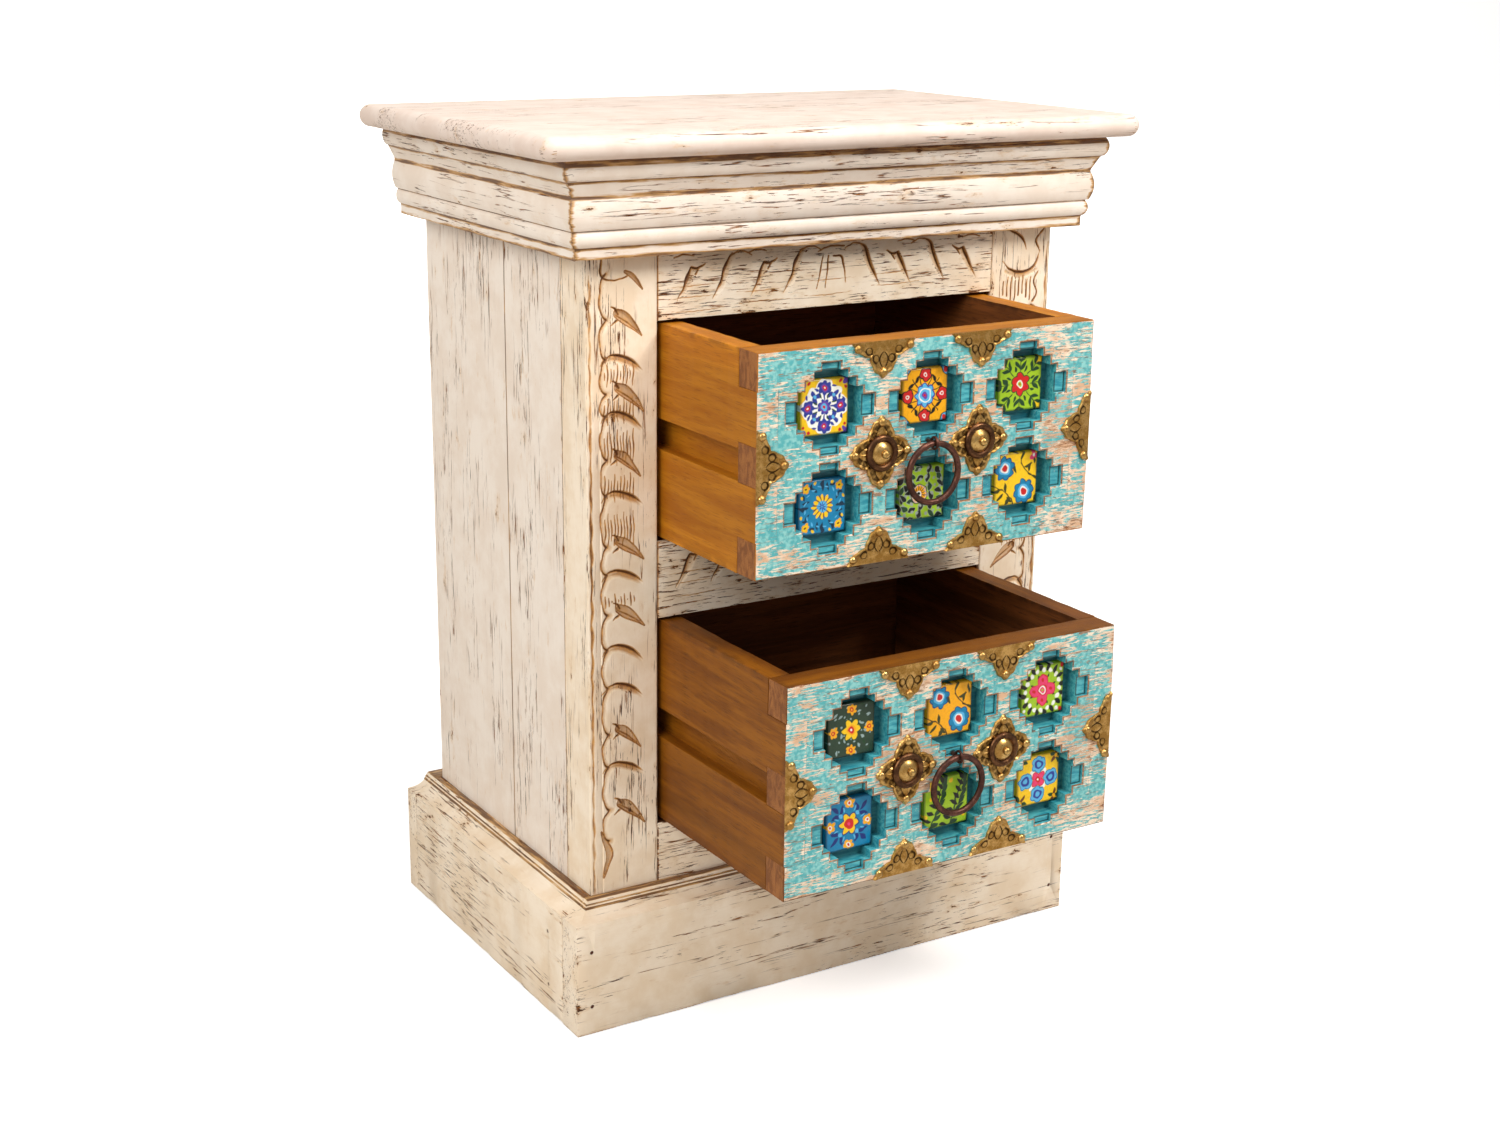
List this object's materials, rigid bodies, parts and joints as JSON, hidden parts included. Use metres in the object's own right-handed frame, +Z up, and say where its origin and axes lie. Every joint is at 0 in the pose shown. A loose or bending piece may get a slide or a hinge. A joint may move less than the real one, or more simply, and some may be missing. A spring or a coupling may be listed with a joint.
{
  "type": "nightstand",
  "caption": "Nightstand of worn cream-painted wood with drawers, a moulded cornice and plinth, tiled turquoise drawer fronts, brass plates and iron ring pulls.",
  "frame": {"origin": "middle of the plinth's back bottom edge, on the floor and in the plane of the wall behind", "axes": "+Z up, -Y out of the front (the way that the drawers open), +X to the right when the front is looked at"},
  "size_m": [0.538, 0.5011, 0.7],
  "materials": {
    "cream_wood": "worn cream paint on pine, matt",
    "turquoise_wood": "brushed and worn turquoise paint, satin",
    "honey_wood": "oiled honey-brown pine",
    "dark_wood": "dark stained wood, matt",
    "brass": "aged stamped brass",
    "iron": "dark browned iron",
    "yellow_glaze": "hand-painted glaze on a yellow ground",
    "orange_glaze": "hand-painted glaze on an orange ground",
    "lime_glaze": "hand-painted glaze on a lime ground",
    "blue_glaze": "hand-painted glaze on a blue ground",
    "green_glaze": "hand-painted glaze on a dark green ground"
  },
  "bodies": {
    "cabinet": {"top_board": "cream_wood", "cornice_front": "cream_wood", "cornice_left": "cream_wood", "cornice_right": "cream_wood", "side_panel_left": "cream_wood", "side_panel_right": "cream_wood", "back_panel": "cream_wood", "floor_panel": "dark_wood", "stile_left": "cream_wood", "stile_right": "cream_wood", "rail_top": "cream_wood", "rail_middle": "cream_wood", "rail_bottom": "cream_wood", "plinth_front": "cream_wood", "plinth_left": "cream_wood", "plinth_right": "cream_wood", "plinth_back": "cream_wood", "upper_runners": "dark_wood", "lower_runners": "dark_wood", "glue_blocks": "dark_wood", "top_screws": "iron", "plinth_nails": "iron"},
    "upper_drawer": {"upper_front": "turquoise_wood", "upper_side_left": "honey_wood", "upper_side_right": "honey_wood", "upper_back": "honey_wood", "upper_bottom": "dark_wood", "upper_tile_top_left": "yellow_glaze", "upper_tile_top_middle": "orange_glaze", "upper_tile_top_right": "lime_glaze", "upper_tile_bottom_left": "blue_glaze", "upper_tile_bottom_middle": "lime_glaze", "upper_tile_bottom_right": "yellow_glaze", "upper_medallions": "brass", "upper_edge_plates": "brass", "upper_nails": "brass", "upper_washers": "iron", "upper_domes": "brass", "upper_staple": "iron"},
    "upper_ring_pull": {"upper_ring": "iron"},
    "lower_drawer": {"lower_front": "turquoise_wood", "lower_side_left": "honey_wood", "lower_side_right": "honey_wood", "lower_back": "honey_wood", "lower_bottom": "dark_wood", "lower_tile_top_left": "green_glaze", "lower_tile_top_middle": "orange_glaze", "lower_tile_top_right": "lime_glaze", "lower_tile_bottom_left": "blue_glaze", "lower_tile_bottom_middle": "lime_glaze", "lower_tile_bottom_right": "yellow_glaze", "lower_medallions": "brass", "lower_edge_plates": "brass", "lower_nails": "brass", "lower_washers": "iron", "lower_domes": "brass", "lower_staple": "iron"},
    "lower_ring_pull": {"lower_ring": "iron"}
  },
  "joints": [
    {"name": "upper_drawer_slide", "type": "slide", "parent": "cabinet", "child": "upper_drawer", "axis": [0, -1, 0], "range_m": [-0.1355, 0.0895]},
    {"name": "lower_drawer_slide", "type": "slide", "parent": "cabinet", "child": "lower_drawer", "axis": [0, -1, 0], "range_m": [-0.1805, 0.0445]},
    {"name": "upper_ring_swing", "type": "hinge", "parent": "upper_drawer", "child": "upper_ring_pull", "pos_m": [0, -0.4508, 0.4755], "axis": [-1, 0, 0], "range_deg": [-2, 165]},
    {"name": "lower_ring_swing", "type": "hinge", "parent": "lower_drawer", "child": "lower_ring_pull", "pos_m": [0, -0.4958, 0.243], "axis": [-1, 0, 0], "range_deg": [-2, 165]}
  ]
}
